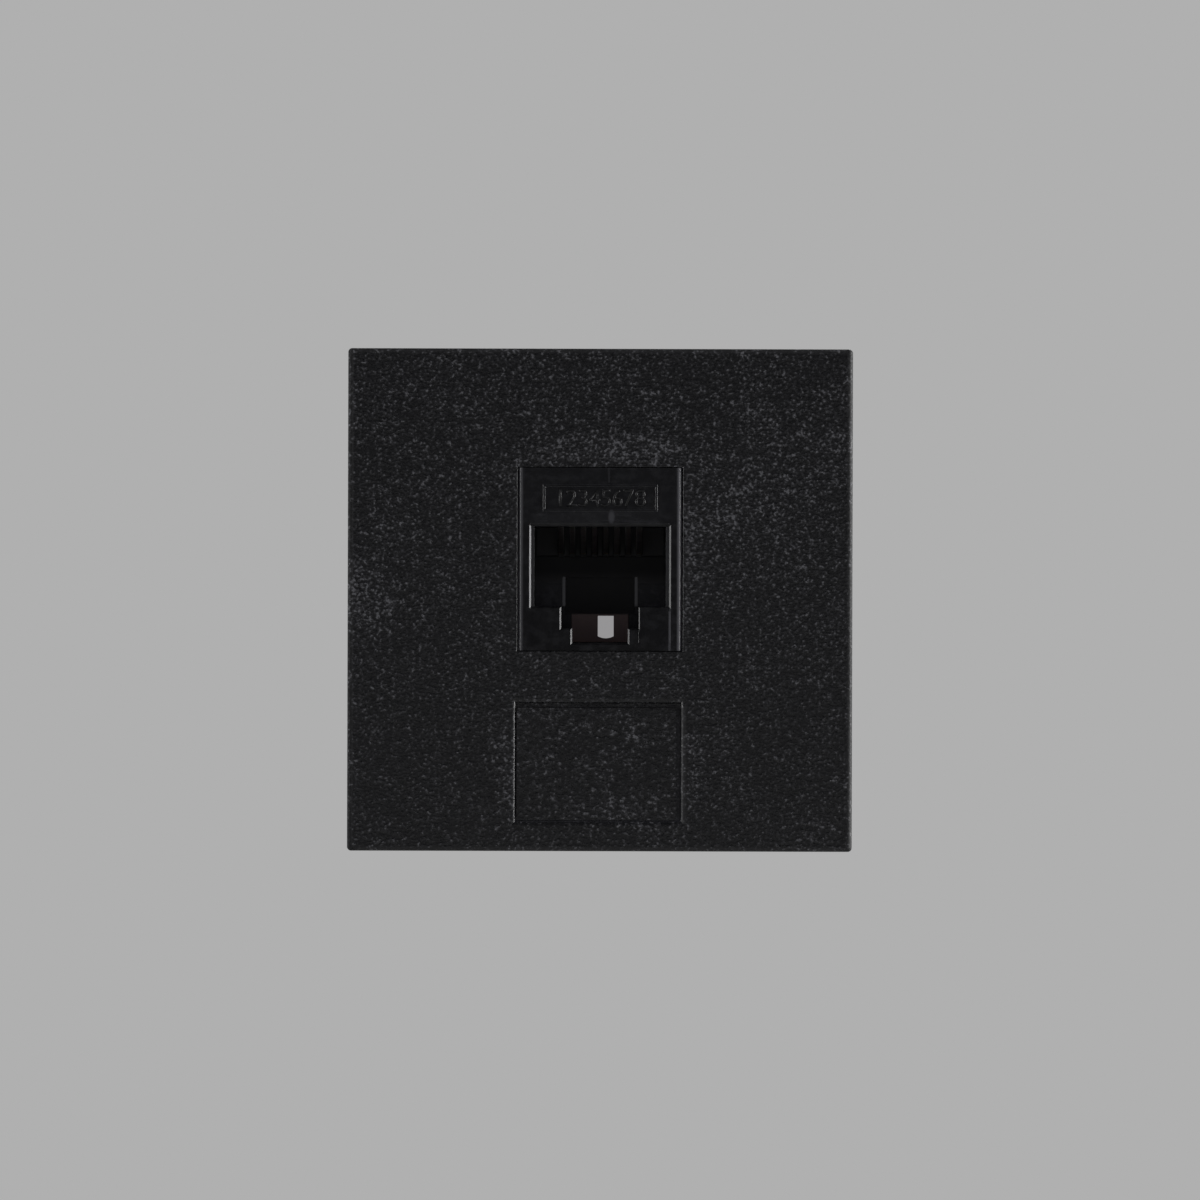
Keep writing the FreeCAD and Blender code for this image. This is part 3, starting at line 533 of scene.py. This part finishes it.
def contact_material(settings):
    """Gold-plated spring strip whose tails are tinned."""
    material = bpy.data.materials.new("contact_gold")
    book = NodeBook(material)
    place = book.position()
    _, y, z = book.axes(place)
    rolled = book.noise(book.stretch(place, (6.0, 0.5, 0.5)), 0.6, detail=2.0)
    stain = book.noise(place, 0.8, detail=2.0)
    tail = book.ramp(y, 8.2, 8.8)
    # Painted glint on the springs' tips.
    glinting_tip = book.ramp(z, 4.35, 4.15)
    # Greyed gold as painted shade; the stains are the springs' own.
    gold = book.blend(book.ramp(stain, 0.35, 0.75), opaque(settings.gold), opaque(settings.stained_gold))
    gold = book.blend(glinting_tip, gold, opaque(settings.tip_gold))
    book.surface({
        "Base Color": book.blend(tail, gold, opaque(settings.tinned)),
        "Metallic": 1.0,
        "Roughness": 0.4 + 0.12 * rolled,
        "Normal": book.bump(rolled, 0.002),
    })
    return material


def terminal_material(settings):
    """Tin-plated strip with the fine lines of rolling and shearing."""
    material = bpy.data.materials.new("terminal_tin")
    book = NodeBook(material)
    place = book.position()
    rolled = book.noise(book.stretch(place, (1.0, 0.3, 8.0)), 0.8, detail=2.0)
    cloud = book.noise(place, 1.2, detail=1.0)
    book.surface({
        "Base Color": book.blend(book.ramp(cloud, 0.3, 0.7), opaque(settings.tin), opaque(settings.dull_tin)),
        "Metallic": 1.0,
        "Roughness": 0.26 + 0.24 * rolled,
        "Normal": book.bump(rolled, 0.003),
    })
    return material


def pin_places(settings):
    """Where the pins of the contacts and terminals go through the board, across and back, in millimetres."""
    places = []
    for name in CONTACTS + TERMINALS:
        bottom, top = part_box(name)
        back = top.y - settings.pin_inset if name in CONTACTS else (bottom.y + top.y) / 2
        places.append(((bottom.x + top.x) / 2 / MM, back / MM))
    return places


def board_material(settings):
    """Green coated board: glass weave at its edges and tinned pads round its holes."""
    material = bpy.data.materials.new("board")
    book = NodeBook(material)
    place = book.position()
    x, y, z = book.axes(place)
    low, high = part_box("circuit_board")
    middle = (low.z + high.z) / 2 / MM
    half = (high.z - low.z) / 2 / MM
    weave = book.node("ShaderNodeTexWave", {"wave_type": "BANDS", "bands_direction": "Z"},
                      {"Vector": place, "Scale": 1.6, "Distortion": 1.5, "Detail": 1.0}, "Fac")
    coat = book.noise(place, 2.5, detail=2.0)
    flat = book.ramp(abs(z - middle), half - 0.08, half - 0.02)
    reach = settings.pad_radius / MM
    pads = None
    for pin in pin_places(settings):
        pad = book.patch(x, y, pin, (reach, reach))
        pads = pad if pads is None else pads.most(pad)
    pads = book.ramp(pads, 0.12, 0.2) * flat
    edge = book.blend(weave, opaque(settings.glass), opaque(settings.pale_glass))
    green = book.blend(coat, opaque(settings.coat), opaque(settings.thin_coat))
    book.surface({
        "Base Color": book.blend(pads, book.blend(flat, edge, green), opaque(settings.pad)),
        "Metallic": pads,
        "Roughness": 0.5 - 0.2 * flat + 0.1 * coat,
        "Normal": book.bump(weave * (1 - flat) + pads, 0.02),
    })
    return material


class FinishPlate(bpy.types.Operator):
    """Grain the faceplate and its label"""

    bl_idname = "socket_module.finish_plate"
    bl_label = "Finish faceplate"

    def execute(self, context):
        dress(["front_plate", "label_insert"], plate_material(context.scene.socket_module.plate))
        return {"FINISHED"}


class FinishJack(bpy.types.Operator):
    """Finish the smooth mouldings of the jack"""

    bl_idname = "socket_module.finish_jack"
    bl_label = "Finish jack"

    def execute(self, context):
        settings = context.scene.socket_module.jack
        dress(MOULDED_JACK, jack_material("jack_plastic", settings))
        dress(["wire_cap_left", "wire_cap_right"], jack_material("cap_plastic", settings, rear=True))
        return {"FINISHED"}


class FinishMetal(bpy.types.Operator):
    """Finish the spring contacts, the wire terminals and the board that joins them"""

    bl_idname = "socket_module.finish_metal"
    bl_label = "Finish contacts and board"

    def execute(self, context):
        settings = context.scene.socket_module.metal
        dress(CONTACTS, contact_material(settings))
        dress(TERMINALS, terminal_material(settings))
        dress(["circuit_board"], board_material(settings))
        return {"FINISHED"}


def face_limits(name):
    """Lowest and highest corners of a node's foremost flat face."""
    low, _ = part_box(name)
    flush = low.y + 0.01 * MM
    corners = [vertex.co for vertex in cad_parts[name].data.vertices if vertex.co.y < flush]
    least = Vector([min(corner[axis] for corner in corners) for axis in range(3)])
    most = Vector([max(corner[axis] for corner in corners) for axis in range(3)])
    return least, most


def digit_mesh(number, settings):
    """Raised number as a mesh that stands on its foot at the origin and faces forward."""
    text = bpy.data.curves.new("contact_number", "FONT")
    text.body = str(number)
    text.align_x = "CENTER"
    text.bevel_depth = settings.bevel
    text.bevel_resolution = 0
    text.offset = -settings.thinning
    text.resolution_u = 4
    holder = bpy.data.objects.new("contact_number", text)
    bpy.context.scene.collection.objects.link(holder)
    depsgraph = bpy.context.evaluated_depsgraph_get()
    made = bpy.data.meshes.new_from_object(holder.evaluated_get(depsgraph))
    bpy.data.objects.remove(holder)
    bpy.data.curves.remove(text)
    heights = [vertex.co.y for vertex in made.vertices]
    widths = [vertex.co.x for vertex in made.vertices]
    scale = settings.digit_height / (max(heights) - min(heights))
    middle = Vector(((max(widths) + min(widths)) / 2, (max(heights) + min(heights)) / 2, 0))
    made.transform(Matrix.Translation(-middle))
    lift = settings.rise / max(vertex.co.z for vertex in made.vertices)
    made.transform(Matrix.Rotation(math.radians(90), 4, "X") @ Matrix.Diagonal((scale, scale, lift, 1)))
    return made


class MakeMarking(bpy.types.Operator):
    """Raise the contact numbers inside the outline on the jack's face"""

    bl_idname = "socket_module.make_marking"
    bl_label = "Make contact marking"

    def execute(self, context):
        settings = context.scene.socket_module.marking
        low, high = face_limits("jack_housing")
        mesh = bmesh.new()
        for number, contact in enumerate(CONTACTS, start=1):
            bottom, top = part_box(contact)
            digit = digit_mesh(number, settings)
            place = ((bottom.x + top.x) / 2, low.y + settings.rise, (low.z + high.z) / 2)
            digit.transform(Matrix.Translation(place))
            mesh.from_mesh(digit)
            bpy.data.meshes.remove(digit)
        bmesh.ops.remove_doubles(mesh, verts=mesh.verts, dist=1e-7)
        bmesh.ops.recalc_face_normals(mesh, faces=mesh.faces)
        data = bpy.data.meshes.new("contact_marking")
        mesh.to_mesh(data)
        mesh.free()
        data.materials.append(bpy.data.materials["jack_plastic"])
        marking = bpy.data.objects.new("contact_marking", data)
        context.scene.collection.objects.link(marking)
        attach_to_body(marking, "module")
        return {"FINISHED"}


def geometry_node(tree, kind, sockets, settings=None):
    """Adds a geometry node with its settings and the values or links of its sockets."""
    node = tree.nodes.new(kind)
    for name, value in (settings or {}).items():
        setattr(node, name, value)
    for key, value in sockets.items():
        if isinstance(value, bpy.types.NodeSocket):
            tree.links.new(value, node.inputs[key])
        else:
            node.inputs[key].default_value = value
    return node


def ejector_tree():
    """Geometry nodes: a grid of raised rings, upright across Y, moved to one place."""
    tree = bpy.data.node_groups.new("ejector_rings", "GeometryNodeTree")
    inputs = (("Columns", "NodeSocketInt"), ("Rows", "NodeSocketInt"), ("Width", "NodeSocketFloat"),
              ("Height", "NodeSocketFloat"), ("Radius", "NodeSocketFloat"), ("Rim", "NodeSocketFloat"),
              ("Place", "NodeSocketVector"), ("Material", "NodeSocketMaterial"))
    for name, kind in inputs:
        tree.interface.new_socket(name, in_out="INPUT", socket_type=kind)
    tree.interface.new_socket("Geometry", in_out="OUTPUT", socket_type="NodeSocketGeometry")
    given = tree.nodes.new("NodeGroupInput").outputs
    grid = geometry_node(tree, "GeometryNodeMeshGrid", {
        "Size X": given["Width"], "Size Y": given["Height"],
        "Vertices X": given["Columns"], "Vertices Y": given["Rows"]})
    circle = geometry_node(tree, "GeometryNodeCurvePrimitiveCircle", {
        "Resolution": 40, "Radius": given["Radius"]})
    section = geometry_node(tree, "GeometryNodeCurvePrimitiveCircle", {
        "Resolution": 8, "Radius": given["Rim"]})
    ring = geometry_node(tree, "GeometryNodeCurveToMesh", {
        "Curve": circle.outputs["Curve"], "Profile Curve": section.outputs["Curve"]})
    rings = geometry_node(tree, "GeometryNodeInstanceOnPoints", {
        "Points": grid.outputs["Mesh"], "Instance": ring.outputs["Mesh"]})
    placed = geometry_node(tree, "GeometryNodeTransform", {
        "Geometry": rings.outputs["Instances"], "Translation": given["Place"],
        "Rotation": (math.radians(90), 0.0, 0.0)})
    solid = geometry_node(tree, "GeometryNodeRealizeInstances", {"Geometry": placed.outputs["Geometry"]})
    coated = geometry_node(tree, "GeometryNodeSetMaterial", {
        "Geometry": solid.outputs["Geometry"], "Material": given["Material"]})
    geometry_node(tree, "NodeGroupOutput", {"Geometry": coated.outputs["Geometry"]})
    return tree


class MakeEjectorRings(bpy.types.Operator):
    """Set the mould's ejector rings on the back of the front wall"""

    bl_idname = "socket_module.make_ejector_rings"
    bl_label = "Make ejector rings"

    def execute(self, context):
        settings = context.scene.socket_module.ejector
        plate = context.scene.socket_module.plate
        low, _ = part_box("front_plate")
        jack_low, jack_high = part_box("jack_housing")
        holder = bpy.data.objects.new("ejector_holder", bpy.data.meshes.new("ejector_holder"))
        context.scene.collection.objects.link(holder)
        modifier = holder.modifiers.new("ejector_rings", "NODES")
        modifier.node_group = ejector_tree()
        values = {
            "Columns": settings.columns,
            "Rows": settings.rows,
            "Width": settings.spacing_across * (settings.columns - 1),
            "Height": settings.spacing_up * (settings.rows - 1),
            "Radius": settings.radius,
            "Rim": settings.rim,
            "Place": (0.0, low.y + plate.wall, (jack_low.z + jack_high.z) / 2),
            "Material": bpy.data.materials["textured_plastic"],
        }
        for item in modifier.node_group.interface.items_tree:
            if item.in_out == "INPUT":
                modifier[item.identifier] = values[item.name]
        depsgraph = context.evaluated_depsgraph_get()
        data = bpy.data.meshes.new_from_object(holder.evaluated_get(depsgraph))
        if not data.polygons:
            raise RuntimeError("the ejector rings came out empty")
        bpy.data.objects.remove(holder)
        rings = bpy.data.objects.new("ejector_rings", data)
        context.scene.collection.objects.link(rings)
        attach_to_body(rings, "module")
        return {"FINISHED"}


def make_world(settings):
    """Backdrop for the camera, and a room that is darker in front of the module for all other rays."""
    world = bpy.data.worlds.new("studio")
    bpy.context.scene.world = world
    book = NodeBook(world)
    seen = book.node("ShaderNodeLightPath", {}, {}, "Is Camera Ray")
    mirrored = seen.also("Is Glossy Ray").most(seen.also("Is Transmission Ray"))
    direction = book.node("ShaderNodeTexCoord", {}, {}, "Generated")
    x, y, _ = book.axes(direction)
    behind = book.ramp(y, -0.2, 0.5)
    beside = book.ramp(abs(x), 0.3, 0.6) * (1 - behind)
    aside = book.distance(book.stretch(direction, (1, 0, 1)))
    backdrop = book.blend(book.ramp(aside, 0.03, 0.015), opaque(settings.backdrop), opaque(settings.shade))
    mirrored_share = mirrored * behind * (0.1 + 0.2 * book.ramp(x, -0.3, 0.3))
    share = seen.most(mirrored_share).most(behind * 0.1)
    walls = book.blend(beside, opaque(settings.room), opaque(settings.flank))
    light = book.blend(share, walls, backdrop)
    background = book.node("ShaderNodeBackground", {}, {"Color": light, "Strength": 1.0})
    book.node("ShaderNodeOutputWorld", {}, {"Surface": background})


def make_floor(settings):
    """Pale round floor that fades into the backdrop towards its rim."""
    mesh = bmesh.new()
    bmesh.ops.create_circle(mesh, cap_ends=True, segments=96, radius=settings.floor_radius,
                            matrix=Matrix.Translation((0, 0, -settings.floor_drop)))
    data = bpy.data.meshes.new("floor")
    mesh.to_mesh(data)
    mesh.free()
    material = bpy.data.materials.new("pale_floor")
    book = NodeBook(material)
    place = book.position()
    radius = settings.floor_radius / MM
    reach = book.distance(book.stretch(place, (1, 1, 0)))
    paper = book.noise(place, 3.0, detail=2.0)
    tone = book.blend(paper, opaque(settings.floor_tone), opaque(settings.floor_fleck))
    lit = book.node("ShaderNodeBsdfDiffuse", {}, {"Color": tone})
    plain = book.node("ShaderNodeEmission", {}, {"Color": opaque(settings.backdrop), "Strength": 1.0})
    rim = book.ramp(reach, 0.12 * radius, 0.42 * radius)
    mixed = book.node("ShaderNodeMixShader", {}, {0: rim, 1: lit, 2: plain})
    book.node("ShaderNodeOutputMaterial", {}, {"Surface": mixed})
    data.materials.append(material)
    floor = bpy.data.objects.new("floor", data)
    bpy.context.scene.collection.objects.link(floor)


def soft_light(name, power, width, height, place):
    """Rectangular lamp that looks at the module's middle."""
    lamp = bpy.data.lights.new(name, "AREA")
    lamp.shape = "RECTANGLE"
    lamp.size = width
    lamp.size_y = height
    lamp.energy = power
    holder = bpy.data.objects.new(name, lamp)
    holder.location = place
    holder.rotation_euler = (-Vector(place)).to_track_quat("-Z", "Y").to_euler()
    bpy.context.scene.collection.objects.link(holder)


def make_camera(settings, face_y):
    """Camera square in front of the plate, far enough away to look almost without perspective."""
    lens = bpy.data.cameras.new("camera")
    lens.sensor_width = 36.0
    lens.lens = lens.sensor_width * settings.camera_distance / settings.picture_width
    lens.clip_start = 0.01
    lens.clip_end = 20.0
    camera = bpy.data.objects.new("camera", lens)
    camera.location = (0, face_y - settings.camera_distance, 0)
    camera.rotation_euler = (math.radians(90), settings.camera_roll, 0)
    bpy.context.scene.collection.objects.link(camera)
    bpy.context.scene.camera = camera


class SetStage(bpy.types.Operator):
    """Set up the camera, the lights, the backdrop and the floor"""

    bl_idname = "socket_module.set_stage"
    bl_label = "Set stage"

    def execute(self, context):
        settings = context.scene.socket_module.stage
        context.scene.view_settings.view_transform = "Standard"
        low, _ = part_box("front_plate")
        make_camera(settings, low.y)
        make_world(settings)
        make_floor(settings)
        for name, (power, width, height, place) in LIGHTS.items():
            soft_light(name, getattr(settings, power), width, height, place)
        return {"FINISHED"}


class SocketModulePanel(bpy.types.Panel):
    """Steps and settings of the socket module"""

    bl_idname = "VIEW3D_PT_socket_module"
    bl_label = "Socket Module"
    bl_space_type = "VIEW_3D"
    bl_region_type = "UI"
    bl_category = "Socket Module"

    def draw(self, context):
        settings = context.scene.socket_module
        steps = ((FinishPlate, settings.plate), (FinishJack, settings.jack), (FinishMetal, settings.metal),
                 (MakeMarking, settings.marking), (MakeEjectorRings, settings.ejector),
                 (SetStage, settings.stage))
        for step, group in steps:
            box = self.layout.box()
            box.operator(step.bl_idname)
            for name in group.__annotations__:
                box.prop(group, name)


CLASSES = (PlateSettings, JackSettings, MetalSettings, MarkingSettings, EjectorSettings, StageSettings,
           SocketModuleSettings, FinishPlate, FinishJack, FinishMetal, MakeMarking, MakeEjectorRings,
           SetStage, SocketModulePanel)


def register():
    for kind in CLASSES:
        bpy.utils.register_class(kind)
    bpy.types.Scene.socket_module = PointerProperty(type=SocketModuleSettings)


def unregister():
    del bpy.types.Scene.socket_module
    for kind in reversed(CLASSES):
        bpy.utils.unregister_class(kind)


def main():
    register()
    steps = bpy.ops.socket_module
    steps.finish_plate()
    steps.finish_jack()
    steps.finish_metal()
    steps.make_marking()
    steps.make_ejector_rings()
    steps.set_stage()


if __name__ == "__main__":
    main()
